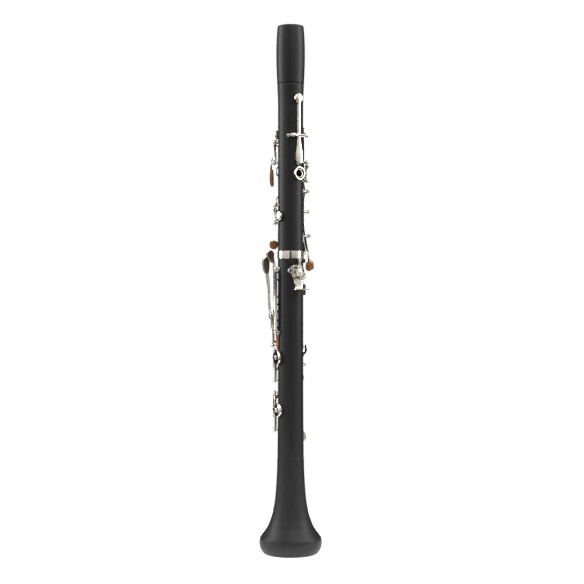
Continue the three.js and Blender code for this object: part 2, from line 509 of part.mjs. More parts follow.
function clarinet() {
  const part = new THREE.Group();
  const put = (name, made, look) => {
    const mesh = new THREE.Mesh(geometryOf(made), new THREE.MeshStandardMaterial(look));
    mesh.name = name;
    part.add(mesh);
  };
  put("barrel", barrel(), WOOD);
  put("upper_joint", upperJoint(), WOOD);
  put("lower_joint", lowerJoint(), WOOD);
  put("bell", bell(), WOOD);
  put("cork_barrel_tenon", tenonCork(UPPER_TOP, 1, TENON_R), CORK);
  put("cork_middle_tenon", tenonCork(LOWER_TOP + GAP, -1, TENON_R), CORK);
  put("cork_bell_tenon", tenonCork(BELL_TOP + GAP, -1, LOWER_TENON), CORK);
  put("socket_ring", socketRing(), SILVER);
  put("thumb_bushing", thumbBushing(), SILVER);
  put("thumb_rest_plate", thumbRestPlate(), SILVER);
  put("thumb_rest_hook", thumbHook(), SILVER);
  put("thumb_rest_screw", clampScrew(), SILVER);
  put("thumb_rest_pin", stopPin(), BLACK);
  put("guide_block", guideBlock(), BLACK);
  put("lever_bumper", leverBumper(), FACE);
  put("posts_side_guide", posts([across(164.5, 358, 2.4, 20)]), STEEL);
  for (const [name, parts] of Object.entries(KEYS))
    put(`key_${name}`, key(HINGES[name], parts(), OPEN[name]), SILVER);
  for (const [name, held] of Object.entries(POSTS))
    put(`posts_${name}`, posts(held.map((h) => HINGES[h]), ...(POST_REACH[name] ?? [])), STEEL);
  for (const name of Object.keys(FACINGS)) put(`facing_${name}`, facing(name), FACE);
  for (const [name, b, z, r] of [["f_sharp_key", 345, 221, 8.4], ["f_key", 352, 162, 7.5]])
    put(`pad_${name}`, padDisc(b, z, r), PAD);
  return part;
}

export default clarinet();
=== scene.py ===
import math

import bpy
from mathutils import Matrix, Vector


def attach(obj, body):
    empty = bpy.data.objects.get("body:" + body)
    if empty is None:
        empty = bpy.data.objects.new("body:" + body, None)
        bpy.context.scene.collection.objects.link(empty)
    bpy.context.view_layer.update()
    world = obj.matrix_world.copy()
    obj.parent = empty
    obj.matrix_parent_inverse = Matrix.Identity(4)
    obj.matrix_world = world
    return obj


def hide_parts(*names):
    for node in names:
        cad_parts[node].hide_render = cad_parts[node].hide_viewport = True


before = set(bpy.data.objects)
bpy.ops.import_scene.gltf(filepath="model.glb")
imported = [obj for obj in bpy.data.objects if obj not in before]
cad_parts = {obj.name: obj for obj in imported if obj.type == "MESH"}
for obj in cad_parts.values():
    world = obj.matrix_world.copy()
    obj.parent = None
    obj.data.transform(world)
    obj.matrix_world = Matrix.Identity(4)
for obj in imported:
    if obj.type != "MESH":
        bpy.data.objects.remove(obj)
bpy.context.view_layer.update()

# Lengths are in millimetres until a mesh is made. Places are polar, as in the CAD: a bearing, a distance
# from the bore's axis and a height. 90 is the thumb side and 270 the side with the finger holes.
MM = 0.001
GAP = 0.3
BELL_TOP, LOWER_TOP, UPPER_TOP, TOTAL = 107, 341, 529, 595
BORE, UPPER_R, LOWER_R = 7.4, 14.2, 14.3
TENON, TENON_R, SOCKET_R = 15, 11.2, 12.3
BELL_TENON_R, BELL_SOCKET_R = 12.2, 13.3
FLARE_TOP, FLARE_SLOPE = 184, 0.0067  # the lower joint widens slowly below this height
SEAT_TOP, CHIMNEY_TOP = 15.2, 16.6
HINGE_R = 18.3
TUBE_R, ROD_R, POST_R = 1.9, 0.95, 2.2
HALF_THICK = 0.75  # of an arm or a touch, unless its row says otherwise
UP = Vector((0, 0, 1))


def outward(bearing):
    a = math.radians(bearing)
    return Vector((math.cos(a), math.sin(a), 0))


def sideways(bearing):
    return outward(bearing + 90)


def at(bearing, radius, height):
    p = outward(bearing) * radius
    p.z = height
    return p


# ---------------------------------------------------------------- shapes: lists of points and of faces
def merged(*shapes):
    points, faces = [], []
    for p, f in shapes:
        base = len(points)
        points += p
        faces += [tuple(i + base for i in face) for face in f]
    return points, faces


def placed(shape, origin, axis):
    """The shape with its Z along an axis and its origin at a point."""
    z = axis.normalized()
    x = UP if abs(z.z) < 0.9 else Vector((1, 0, 0))
    x = (x - z * x.dot(z)).normalized()
    turn = Matrix((x, z.cross(x), z)).transposed()
    return [turn @ p + origin for p in shape[0]], shape[1]


def revolved(profile, segments):
    """Pairs of radius and height, turned round Z. A radius of 0 closes the end."""
    points, faces, rings = [], [], []
    for r, z in profile:
        if r == 0:
            rings.append([len(points)] * segments)
            points.append(Vector((0, 0, z)))
            continue
        rings.append(list(range(len(points), len(points) + segments)))
        for k in range(segments):
            a = 2 * math.pi * k / segments
            points.append(Vector((r * math.cos(a), r * math.sin(a), z)))
    for low, high in zip(rings, rings[1:]):
        for k in range(segments):
            n = (k + 1) % segments
            corners = [low[k], low[n], high[n], high[k]]
            face = tuple(dict.fromkeys(corners))
            if len(face) > 2:
                faces.append(face)
    return points, faces


def slopes(u, v):
    """Slopes of a smooth curve through the values v at the places u that never overshoots."""
    step = [(b - a) / max(d - c, 1e-9) for a, b, c, d in zip(v, v[1:], u, u[1:])]
    out = [step[0]]
    for a, b in zip(step, step[1:]):
        out.append(0.0 if a * b <= 0 else 2 * a * b / (a + b))
    return out + [step[-1]]


def between(s, width, start, end, slope_in, slope_out):
    """A cubic from one value to the next, at the share s of the way, with its slope at each end."""
    return ((1 - 3 * s * s + 2 * s**3) * start + (3 * s * s - 2 * s**3) * end
            + width * (s * (1 - s) ** 2 * slope_in + s * s * (s - 1) * slope_out))


def smooth(rows, spacing):
    """Rows of numbers, the first three a polar place, filled in between along a smooth curve."""
    u = [0.0]
    for a, b in zip(rows, rows[1:]):
        u.append(u[-1] + max((at(*b[:3]) - at(*a[:3])).length, 1e-6))
    columns = list(zip(*rows))
    tangents = [slopes(u, c) for c in columns]
    out = []
    for i in range(len(rows) - 1):
        width = u[i + 1] - u[i]
        count = max(1, round(width / spacing))
        for k in range(count):
            out.append([between(k / count, width, c[i], c[i + 1], m[i], m[i + 1])
                        for c, m in zip(columns, tangents)])
    return out + [list(rows[-1])]


def squared(value, power):
    """A sine or cosine bent so that a circle drawn with it turns into a rounded square."""
    return math.copysign(abs(value) ** power, value)


def sweep(path, ups, sizes, sides, square):
    """A bar along a path, with a rounded section of half width and half thickness."""
    points, faces = [], []
    last = len(path) - 1
    for i, p in enumerate(path):
        along = (path[min(i + 1, last)] - path[max(i - 1, 0)]).normalized()
        up = (ups[i] - along * ups[i].dot(along)).normalized()
        across = up.cross(along)
        w, t = sizes[i]
        for k in range(sides):
            a = 2 * math.pi * (k + 0.5) / sides
            x, y = squared(math.cos(a), 2 / square) * w, squared(math.sin(a), 2 / square) * t
            points.append(p + across * x + up * y)
    for i in range(last):
        for k in range(sides):
            n = (k + 1) % sides
            faces.append((i * sides + k, i * sides + n, (i + 1) * sides + n, (i + 1) * sides + k))
    faces.append(tuple(reversed(range(sides))))
    faces.append(tuple(range(last * sides, (last + 1) * sides)))
    return points, faces


def strip(rows, facing=None, ends=(0.8, 0.8), square=2.6, sides=16):
    """A key's arm or touch through rows of bearing, radius, height, half width and half thickness."""
    rows = smooth([list(r) + [HALF_THICK] * (5 - len(r)) for r in rows], 0.9)
    path = [at(*r[:3]) for r in rows]
    ups = [outward(r[0] if facing is None else facing) for r in rows]
    run = [0.0]
    for a, b in zip(path, path[1:]):
        run.append(run[-1] + (b - a).length)
    sizes = []
    for r, s in zip(rows, run):
        scale = 1.0
        for reach, d in ((ends[0], s), (ends[1], run[-1] - s)):
            if reach and d < reach:
                scale *= max(1 - (1 - d / reach) ** 2, 0.02) ** 0.5
        sizes.append((r[3] * scale, r[4] * (0.35 + 0.65 * scale)))
    return sweep(path, ups, sizes, sides, square)


def rod(a, b, radius, segments, chamfer=0.15):
    length = (b - a).length
    profile = [(0, 0), (radius - chamfer, 0), (radius, chamfer), (radius, length - chamfer),
               (radius - chamfer, length), (0, length)]
    return placed(revolved(profile, segments), a, b - a)


def ball(centre, radius, axis):
    arc = [math.pi * k / 12 for k in range(1, 12)]
    profile = [(0, -radius), *((radius * math.sin(a), -radius * math.cos(a)) for a in arc), (0, radius)]
    return placed(revolved(profile, 24), centre, axis)


def box(centre, x, y, z, hx, hy, hz, bevel):
    """A block with its edges cut, from its centre, directions and half sizes."""
    points, index = [], {}
    for sx in (-1, 1):
        for sy in (-1, 1):
            for sz in (-1, 1):
                for k in range(3):
                    h = [hx - bevel, hy - bevel, hz - bevel]
                    h[k] += bevel
                    index[sx, sy, sz, k] = len(points)
                    points.append(centre + x * (sx * h[0]) + y * (sy * h[1]) + z * (sz * h[2]))
    faces = []
    for k in range(3):
        i, j = [n for n in range(3) if n != k]
        for s in (-1, 1):
            loop = []
            for a, b in ((-1, -1), (1, -1), (1, 1), (-1, 1)):
                sign = [0, 0, 0]
                sign[k], sign[i], sign[j] = s, a, b
                loop.append(index[(*sign, k)])
            faces.append(tuple(loop))
    for i, j in ((0, 1), (0, 2), (1, 2)):
        k = 3 - i - j
        for a in (-1, 1):
            for b in (-1, 1):
                ends = []
                for c in (-1, 1):
                    sign = [0, 0, 0]
                    sign[i], sign[j], sign[k] = a, b, c
                    ends.append((index[(*sign, i)], index[(*sign, j)]))
                faces.append((ends[0][0], ends[0][1], ends[1][1], ends[1][0]))
    for sx in (-1, 1):
        for sy in (-1, 1):
            for sz in (-1, 1):
                faces.append(tuple(index[sx, sy, sz, k] for k in range(3)))
    return points, faces


# ---------------------------------------------------------------- materials
def material(name, base, dark, rough, grain, metal=0.0, bump=0.05, rough_spread=0.08, speck=None, sheen=0.0,
             gloss=0.5):
    """Two colours mixed by a noise, the same noise in roughness, and a fine bump.

    The grain is the noise's scale along X, Y and Z. A speck is the scale, colour and size of small spots.
    """
    m = bpy.data.materials.new(name)
    m.use_nodes = True
    nodes, link = m.node_tree.nodes, m.node_tree.links.new
    shader = nodes["Principled BSDF"]
    place = nodes.new("ShaderNodeTexCoord")
    scale = nodes.new("ShaderNodeMapping")
    scale.inputs["Scale"].default_value = grain
    link(place.outputs["Object"], scale.inputs["Vector"])
    noise = nodes.new("ShaderNodeTexNoise")
    noise.inputs["Scale"].default_value = 1.0
    noise.inputs["Detail"].default_value = 6
    noise.inputs["Roughness"].default_value = 0.6
    link(scale.outputs["Vector"], noise.inputs["Vector"])
    ramp = nodes.new("ShaderNodeValToRGB")
    for mark, position, tint in zip(ramp.color_ramp.elements, (0.35, 0.65), (dark, base)):
        mark.position, mark.color = position, (*tint, 1)
    link(noise.outputs["Fac"], ramp.inputs["Fac"])
    colour = ramp.outputs["Color"]
    if speck:
        speck_scale, speck_colour, speck_size = speck
        spots = nodes.new("ShaderNodeTexVoronoi")
        spots.inputs["Scale"].default_value = speck_scale
        link(place.outputs["Object"], spots.inputs["Vector"])
        edge = nodes.new("ShaderNodeMapRange")
        edge.inputs["From Min"].default_value = speck_size
        edge.inputs["From Max"].default_value = speck_size + 0.12
        link(spots.outputs["Distance"], edge.inputs["Value"])
        mix = nodes.new("ShaderNodeMix")
        mix.data_type = "RGBA"
        mix.inputs["A"].default_value = (*speck_colour, 1)
        link(edge.outputs["Result"], mix.inputs["Factor"])
        link(colour, mix.inputs["B"])
        colour = mix.outputs["Result"]
    link(colour, shader.inputs["Base Color"])
    uneven = nodes.new("ShaderNodeMapRange")
    uneven.inputs["To Min"].default_value = rough - rough_spread
    uneven.inputs["To Max"].default_value = rough + rough_spread
    link(noise.outputs["Fac"], uneven.inputs["Value"])
    link(uneven.outputs["Result"], shader.inputs["Roughness"])
    relief = nodes.new("ShaderNodeBump")
    relief.inputs["Strength"].default_value = bump
    relief.inputs["Distance"].default_value = 0.0002
    link(noise.outputs["Fac"], relief.inputs["Height"])
    link(relief.outputs["Normal"], shader.inputs["Normal"])
    shader.inputs["Metallic"].default_value = metal
    shader.inputs["Specular IOR Level"].default_value = gloss
    shader.inputs["Sheen Weight"].default_value = sheen
    return m


WOOD = material("black_wood", (0.012, 0.012, 0.014), (0.005, 0.005, 0.006), 0.48, (900, 900, 26), bump=0.12,
                gloss=0.34)
SILVER = material("silver_plate", (0.88, 0.83, 0.75), (0.8, 0.74, 0.66), 0.14, (160, 160, 160), metal=1,
                  bump=0.02, rough_spread=0.05)
STEEL = material("polished_steel", (0.76, 0.72, 0.66), (0.6, 0.57, 0.52), 0.2, (700, 700, 120), metal=1,
                 bump=0.03)
BLUED = material("blued_spring", (0.05, 0.06, 0.1), (0.02, 0.02, 0.04), 0.3, (800, 800, 800), metal=1)
CORK = material("cork", (0.62, 0.4, 0.22), (0.5, 0.3, 0.15), 0.85, (900, 900, 900), bump=0.5,
                speck=(1400, (0.3, 0.16, 0.07), 0.08))
FACE = material("brown_facing", (0.44, 0.17, 0.045), (0.24, 0.08, 0.02), 0.55, (500, 500, 200), bump=0.35,
                speck=(1500, (0.17, 0.06, 0.02), 0.06))
LEATHER = material("worn_leather", (0.1, 0.04, 0.025), (0.02, 0.012, 0.01), 0.5, (400, 400, 160), bump=0.35)
SKIN = material("pad_skin", (0.82, 0.76, 0.62), (0.7, 0.62, 0.47), 0.7, (500, 500, 500), bump=0.25,
                sheen=0.2)
# Black for parts of that colour, and also for the pieces that are painted shade in the clamp screw's slot
# and the countersinks.
BLACK = material("black_composite_and_painted_shade", (0.02, 0.02, 0.022), (0.01, 0.01, 0.011), 0.5, (1200, 1200, 1200),
                 bump=0.2)


def linked(name, data):
    obj = bpy.data.objects.new(name, data)
    bpy.context.scene.collection.objects.link(obj)
    return obj


def solid(name, shape):
    """The shape as an object, in metres."""
    mesh = bpy.data.meshes.new(name)
    mesh.from_pydata([p * MM for p in shape[0]], [], shape[1])
    return linked(name, mesh)


def finished(obj, look, body, sharp=35):
    """The object's material, its shading and the body that it rides."""
    mesh = obj.data
    mesh.materials.clear()
    mesh.materials.append(look)
    mesh.polygons.foreach_set("use_smooth", [True] * len(mesh.polygons))
    mesh.set_sharp_from_angle(angle=math.radians(sharp))
    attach(obj, body)


def piece(name, shape, look, body="body", stands_for=()):
    obj = solid(name, shape)
    obj.data.validate()
    finished(obj, look, body)
    if stands_for:
        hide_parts(*stands_for)


# ---------------------------------------------------------------- the wooden body
# Each key's pad: bearing, height, radius of the tone hole and radius of the cup.
PADS = {
    "register": (85, 512, 2.6, 5.2), "side_1": (178, 477, 2.9, 4.6), "side_2": (187.5, 460, 2.9, 4.6),
    "side_3": (197, 436, 2.6, 4.2), "side_4": (210, 400, 2.6, 4.2), "throat_a": (270, 482, 3.0, 5),
    "throat_g_sharp": (296, 473, 3.0, 5), "upper_rings": (256, 415, 2.8, 4.8),
    "e_flat_sliver": (357, 380, 3.4, 5.65), "c_sharp_g_sharp": (258, 357, 2.4, 3.9),
    "lower_rings": (256, 299, 2.8, 4.8), "b_f_sharp_sliver": (196, 272, 2.9, 4.8),
    "f_sharp_key": (345, 221, 5.9, 8.4), "a_flat_key": (194, 197.5, 3.7, 5.8),
    "f_key": (352, 162, 5.2, 7.5), "e_key": (196, 130, 5.4, 7.8),
}
UPPER_HOLES = [(bearing, z, hole) for bearing, z, hole, _ in PADS.values() if z > LOWER_TOP]
LOWER_HOLES = [(bearing, z, hole) for bearing, z, hole, _ in PADS.values() if z < LOWER_TOP]
UPPER_FINGERS = [(270, 432), (270, 398), (270, 372)]
LOWER_FINGERS = [(270, 313), (270, 285), (270, 258)]
FINGER_HOLE, CHIMNEY = 3.9, 5.5
THUMB_HOLE = (86.5, 427.7)
BUSHING_R = 5.3


def filled(profile):
    """More rings on the long straight runs of a profile, so that holes cut in it leave the shading even."""
    spacing = 2.5
    out = [profile[0]]
    for (r0, z0), (r1, z1) in zip(profile, profile[1:]):
        count = max(1, round(abs(z1 - z0) / spacing)) if r0 and r1 else 1
        out += [(r0 + (r1 - r0) * k / count, z0 + (z1 - z0) * k / count) for k in range(1, count + 1)]
    return out


def curve(points, spacing=2.0):
    """A smooth profile through pairs of radius and height, that run up or down."""
    u = [0.0]
    for a, b in zip(points, points[1:]):
        u.append(u[-1] + math.dist(a, b))
    columns = list(zip(*points))
    tangents = [slopes(u, c) for c in columns]
    out = []
    for i in range(len(points) - 1):
        width = u[i + 1] - u[i]
        count = max(1, round(width / spacing))
        for k in range(count):
            out.append(tuple(between(k / count, width, c[i], c[i + 1], m[i], m[i + 1])
                             for c, m in zip(columns, tangents)))
    return out + [tuple(points[-1])]


def drill(obj, holes):
    """Cuts round holes of bearing, height and radius through one wall."""
    cutters = [rod(at(bearing, 4.5, z), at(bearing, 22, z), r, 40, 0.01) for bearing, z, r in holes]
    tool = solid("cutters", merged(*cutters))
    cut = obj.modifiers.new("holes", "BOOLEAN")
    cut.operation, cut.solver, cut.object = "DIFFERENCE", "EXACT", tool
    evaluated = obj.evaluated_get(bpy.context.evaluated_depsgraph_get())
    obj.data = bpy.data.meshes.new_from_object(evaluated)
    obj.modifiers.clear()
    bpy.data.objects.remove(tool)


def wooden(name, profile, pads=(), fingers=(), segments=96):
    """A turned section, its profile closed on itself, with the holes under pads and fingers cut."""
    obj = solid(name, revolved(filled(profile), segments))
    if pads:
        drill(obj, pads)
        drill(obj, fingers)
    node = name.replace("_wood", "")
    finished(obj, WOOD, "barrel" if node == "barrel" else "body", 40)
    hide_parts(node)


def seat(bearing, z, r):
    """The rim round a tone hole that a pad shuts on."""
    outer = r + 1.9
    low = math.sqrt(UPPER_R**2 - min(outer, 9) ** 2) - 0.5
    profile = [(r, 8.5), (r, SEAT_TOP - 0.15), (r + 0.15, SEAT_TOP), (r + 0.45, SEAT_TOP),
               (r + 0.9, SEAT_TOP - 0.5), (r + 1.6, SEAT_TOP - 0.8), (outer, SEAT_TOP - 1.1),
               (outer, low), (r, 8.5)]
    return placed(revolved(profile, 40), Vector((0, 0, z)), outward(bearing))


def chimney(bearing, z):
    """The raised wall round a finger hole."""
    inner, outer, top = FINGER_HOLE, CHIMNEY, CHIMNEY_TOP
    profile = [(inner, 8), (inner, top - 0.5), (inner + 0.2, top - 0.1), (inner + 0.6, top),
               (outer - 0.5, top), (outer - 0.1, top - 0.2), (outer, top - 0.6), (outer, 12), (inner, 8)]
    return placed(revolved(profile, 40), Vector((0, 0, z)), outward(bearing))


def tenon(z, r, way):
    """The profile of a tenon of radius r from its shoulder at z, with the groove for its cork."""
    steps = [(r, 0), (r, 3), (r - 1, 3), (r - 1, 12.5), (r, 12.5), (r, TENON - 0.4), (r - 0.4, TENON)]
    return [(radius, z + way * h) for radius, h in steps]


def barrel_section():
    low = UPPER_TOP + GAP
    outside = curve([(14.95, low), (15.08, low + 0.2), (15.45, 537), (15.95, 549), (16.15, 558),
                     (16.15, 569), (15.8, 580), (15.15, 590), (14.75, 594)])
    mouth = [(14.4, TOTAL - 0.2), (13.9, TOTAL), (11.7, TOTAL), (11.4, TOTAL - 0.3), (11.4, 579),
             (BORE, 579)]
    socket = [(BORE, low + TENON + 0.6), (SOCKET_R, low + TENON + 0.6), (SOCKET_R, low), outside[0]]
    wooden("barrel_wood", outside + mouth + socket)


def upper_section():
    low = LOWER_TOP + GAP
    top = curve([(UPPER_R, 507), (14.45, 516), (14.8, 522), (15.05, 528.8)])
    up = tenon(UPPER_TOP, TENON_R, 1)
    down = tenon(low, TENON_R, -1)
    foot = [(UPPER_R - 0.2, low), (UPPER_R, low + 0.2)]
    bore = [(BORE, UPPER_TOP + TENON), (BORE, low - TENON), down[-1]]
    holes = [(*place, FINGER_HOLE) for place in UPPER_FINGERS] + [(*THUMB_HOLE, BUSHING_R)]
    outline = down[::-1] + foot + top + [(14.95, UPPER_TOP)] + up + bore
    wooden("upper_joint_wood", outline, UPPER_HOLES, holes)


def lower_section():
    low = BELL_TOP + GAP
    cut = LOWER_TOP - 8.8
    down = tenon(low, BELL_TENON_R, -1)
    flank = curve([(14.85, low + 0.15), (14.7, 124), (14.45, 152), (LOWER_R, FLARE_TOP)])
    ring_seat = [(LOWER_R, cut - 0.3), (LOWER_R - 0.3, cut), (13.5, cut), (13.5, LOWER_TOP)]
    floor_z = LOWER_TOP - TENON - 0.8
    socket = [(SOCKET_R, LOWER_TOP), (SOCKET_R, floor_z), (BORE, floor_z)]
    bore = [(BORE, 195), (8.2, 150), (9.4, low), (9.6, low - TENON), down[-1]]
    holes = [(*place, FINGER_HOLE) for place in LOWER_FINGERS]
    outline = down[::-1] + [(14.75, low)] + flank + ring_seat + socket + bore
    wooden("lower_joint_wood", outline, LOWER_HOLES, holes)


def bell_section():
    rim = (27.9, 0.15)
    outside = curve([rim, (29.7, 0.0), (31.6, 1.6), (33.6, 4.4), (35.1, 8), (35.55, 12), (34.9, 17),
                     (32.3, 21), (28.6, 26), (26.1, 30), (24, 35), (22.4, 39), (19.9, 48), (18.1, 57),
                     (16.75, 70), (15.85, 84), (15.3, 95), (15.05, 106.85)], 1.5)
    socket = [(14.9, BELL_TOP), (13.5, BELL_TOP), (BELL_SOCKET_R, BELL_TOP - 0.3), (BELL_SOCKET_R, 91)]
    inside = curve([(11, 91), (11.5, 85), (13, 65), (15.3, 45), (18, 30), (20.8, 20), (23.8, 12), (26, 6),
                    rim])
    wooden("bell_wood", outside + socket + inside, segments=128)


def tone_hole_rims():
    sections = (("upper", UPPER_HOLES, UPPER_FINGERS), ("lower", LOWER_HOLES, LOWER_FINGERS))
    for name, holes, fingers in sections:
        rims = [seat(*place) for place in holes] + [chimney(*place) for place in fingers]
        piece(name + "_tone_holes", merged(*rims), WOOD)


def rings_and_corks():
    low, top = LOWER_TOP - 8.5, LOWER_TOP
    profile = [(13.65, low), (14.6, low), (14.85, low + 0.25), (14.9, low + 0.9), (14.9, top - 0.9),
               (14.85, top - 0.25), (14.6, top), (13.65, top), (13.65, low)]
    piece("socket_ring_metal", revolved(profile, 96), SILVER, stands_for=["socket_ring"])
    rim = [(4, 8.8), (4, 16.4), (4.15, 16.7), (4.5, 16.8), (4.9, 16.7), (5.2, 16.4), (5.2, 8.8), (4, 8.8)]
    sleeve = placed(revolved(rim, 48), at(THUMB_HOLE[0], 0, THUMB_HOLE[1]), outward(THUMB_HOLE[0]))
    piece("thumb_hole_sleeve", sleeve, SILVER, stands_for=["thumb_bushing"])
    for name in ("cork_barrel_tenon", "cork_middle_tenon", "cork_bell_tenon"):
        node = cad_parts[name]
        node.data.materials.clear()
        node.data.materials.append(CORK)


# ---------------------------------------------------------------- hinges and posts
class Hinge:
    """The line a key turns on: along the body from one height to another, or across it."""

    def __init__(self, bearing, low, high=None, half=None, radius=HINGE_R, shift=0.0):
        self.foot = outward(bearing)
        if half is None:
            self.a, self.b = at(bearing, radius, low), at(bearing, radius, high)
        else:
            middle = at(bearing, radius, low) + sideways(bearing) * shift
            self.a, self.b = middle - sideways(bearing) * half, middle + sideways(bearing) * half
        self.run = (self.b - self.a).normalized()
        self.lengthwise = half is None

    def turned(self, shape, degrees):
        """The shape turned on the hinge."""
        middle = (self.a + self.b) / 2
        turn = Matrix.Rotation(math.radians(degrees), 3, self.run)
        return [turn @ (p - middle) + middle for p in shape[0]], shape[1]


def ground(place, foot):
    """How far out the wood reaches under a post."""
    radius = UPPER_R if place.z > LOWER_TOP else LOWER_R + max(0, FLARE_TOP - place.z) * FLARE_SLOPE
    side = (place - foot * place.dot(foot)).xy.length
    return math.sqrt(radius**2 - side**2)


def post(place, foot, along):
    """A turned post: a foot let into the wood, a waisted stem and a ball drilled for the rod."""
    high = place.dot(foot)
    low = ground(place, foot) - high
    stem = [(0, low - 1.2), (2.0, low - 1.2), (2.0, low + 0.15), (1.8, low + 0.35), (1.3, low + 0.6),
            (1.0, low + 1.0), (0.95, (low - 1.2) / 2), (1.15, -1.9), (1.3, -1.5), (0, -1.2)]
    head = ball(place, POST_R, along)
    return merged(placed(revolved(stem, 24), place, foot), head)


def screw_end(place, along):
    """The slotted end of a rod, seen in the face of its post."""
    face = place + along * (POST_R - 0.25)
    across = along.cross(UP) if abs(along.z) < 0.9 else Vector((1, 0, 0))
    across = across.normalized()
    aside = across.cross(along)
    rim = [(0.25, 0), (1.15, 0), (1.15, 0.3), (1.0, 0.42), (0.25, 0.42), (0.25, 0)]
    disc = placed(revolved(rim, 20), face, along)
    bars = [box(face + aside * s * 0.62 + along * 0.2, along, across, aside, 0.21, 0.8, 0.4, 0.05)
            for s in (-1, 1)]
    return merged(disc, *bars)


def tube(hinge):
    """A key's tube, hollow for its rod, with a collar at each end."""
    length = (hinge.b - hinge.a).length
    r = TUBE_R
    collar = min(1.1, length / 4)
    profile = [(1.02, 0), (r - 0.1, 0), (r + 0.1, 0.12), (r + 0.1, collar), (r, collar + 0.15),
               (r, length - collar - 0.15), (r + 0.1, length - collar), (r + 0.1, length - 0.12),
               (r - 0.1, length), (1.02, length), (1.02, 0)]
    return placed(revolved(profile, 28), hinge.a, hinge.run)


def mount_hinges(name, hinges, before=2.6, after=2.6):
    """The rod, two posts and spring of one key, or of keys that share them.

    before and after are how far the posts stand from the ends of the tubes.
    """
    first, last = hinges[0], hinges[-1]
    low, high = first.a - first.run * before, last.b + first.run * after
    shapes = [post(low, first.foot, first.run), post(high, first.foot, first.run),
              screw_end(high, first.run), screw_end(low, -first.run)]
    piece("posts_" + name, merged(*shapes), STEEL, stands_for=["posts_" + name])
    piece("rod_" + name, rod(low, high, ROD_R, 20), STEEL)
    if first.lengthwise:
        reach = min((first.b - first.a).length * 0.6, 24)
        start = low - first.foot * 2.6 + first.run * 0.9
        middle = start + first.run * reach * 0.5 + first.foot * 0.1
        tip = start + first.run * reach + first.foot * 0.35
        wire = merged(rod(start, middle, 0.22, 8, 0.02), rod(middle, tip, 0.2, 8, 0.02))
        piece("spring_" + name, wire, BLUED)


# ---------------------------------------------------------------- key parts
def cup(bearing, z, r):
    """A pad cup: an open rim, a rounded shoulder and a nearly flat top with a small boss."""
    profile = [(0, 1.75), (r - 0.55, 1.75), (r - 0.5, 0.75), (r - 0.4, 0.62), (r - 0.1, 0.62), (r, 0.75),
               (r, 1.5), (r - 0.12, 1.85), (r - 0.5, 2.2), (r * 0.8, 2.42), (r * 0.62, 2.52),
               (r * 0.6, 2.58), (r * 0.3, 2.66), (0, 2.7)]
    return placed(revolved(profile, 56 if r > 6 else 44), at(bearing, SEAT_TOP + GAP, z), outward(bearing))


def pad(bearing, z, r):
    """A pad that fills its cup, dished a little in the middle."""
    rim = r - 0.62
    profile = [(0, 0.1), (rim * 0.45, 0.1), (rim * 0.55, 0.06), (rim - 0.6, 0.0), (rim - 0.2, 0.12),
               (rim, 0.45), (rim, 1.6), (0, 1.6)]
    return placed(revolved(profile, 44), at(bearing, SEAT_TOP + GAP, z), outward(bearing))


def ring(bearing, z, inner=5.95, outer=7.3):
    """A finger ring round its chimney, with a rounded section."""
    low = CHIMNEY_TOP - 0.7
    middle, half = (inner + outer) / 2, (outer - inner) / 2
    turns = [2 * math.pi * k / 12 for k in range(12)]
    profile = [(middle - half * squared(math.cos(a), 0.7), low + 0.62 - 0.6 * squared(math.sin(a), 0.7))
               for a in turns]
    profile.append(profile[0])
    return placed(revolved(profile, 56), Vector((0, 0, z)), outward(bearing))


HINGES = {
    "register": Hinge(85, 470.4, half=7, radius=17.3),
    "thumb_ring": Hinge(128, 422.4, 437.9, radius=18.8),
    "throat_a": Hinge(270, 462, half=3),
    "throat_g_sharp": Hinge(322, 443.1, 461.4),
    "upper_rings": Hinge(232, 352, 443),
    "e_flat_sliver": Hinge(336, 375, 389.4),
    "c_sharp_g_sharp": Hinge(279, 347, 361, radius=17.3),
    "lower_rings": Hinge(228, 250, 327),
    "b_f_sharp_sliver": Hinge(213, 266, 278),
    "lh_f_sharp_lever": Hinge(345, 252, 318),
    "lh_e_lever": Hinge(322, 237, 270, radius=20.5),
    "f_sharp_key": Hinge(312, 197, 226),
    "f_key": Hinge(312, 141, 178),
    "e_key": Hinge(222, 141, 200),
    "a_flat_key": Hinge(194, 212, half=2),
    "side_1": Hinge(170, 408.5, half=1.6, radius=18.4, shift=-1.75),
    "side_2": Hinge(170, 408.5, half=1.6, radius=18.4, shift=1.75),
    "side_3": Hinge(191, 385.7, half=1.6, radius=17.6, shift=-0.55),
    "side_4": Hinge(191, 385.7, half=1.6, radius=17.6, shift=2.95),
}
# Keys that share a rod, and how far its posts stand from their tubes.
SHARED_RODS = {
    "side_upper": (["side_1", "side_2"], 2.6, 4.85),
    "side_lower": (["side_3", "side_4"], 7.95, 2.6),
}
# Arms that are turned to face another bearing than their own: the key, and the arm's place in its list.
ARM_FACING = {("side_1", 1): 205, ("side_2", 1): 208, ("lh_f_sharp_lever", 1): 240, ("lh_e_lever", 1): 240}
# How far some keys stand open at rest, in degrees.
OPEN = {"upper_rings": -6, "lower_rings": -6, "thumb_ring": 6, "e_key": 8}
# Each ring's bearing and height, and its two radii where they are not the usual ones.
RINGS = {"thumb_ring": [(*THUMB_HOLE, 5.95, 7.5)], "upper_rings": UPPER_FINGERS[:2],
         "lower_rings": LOWER_FINGERS}

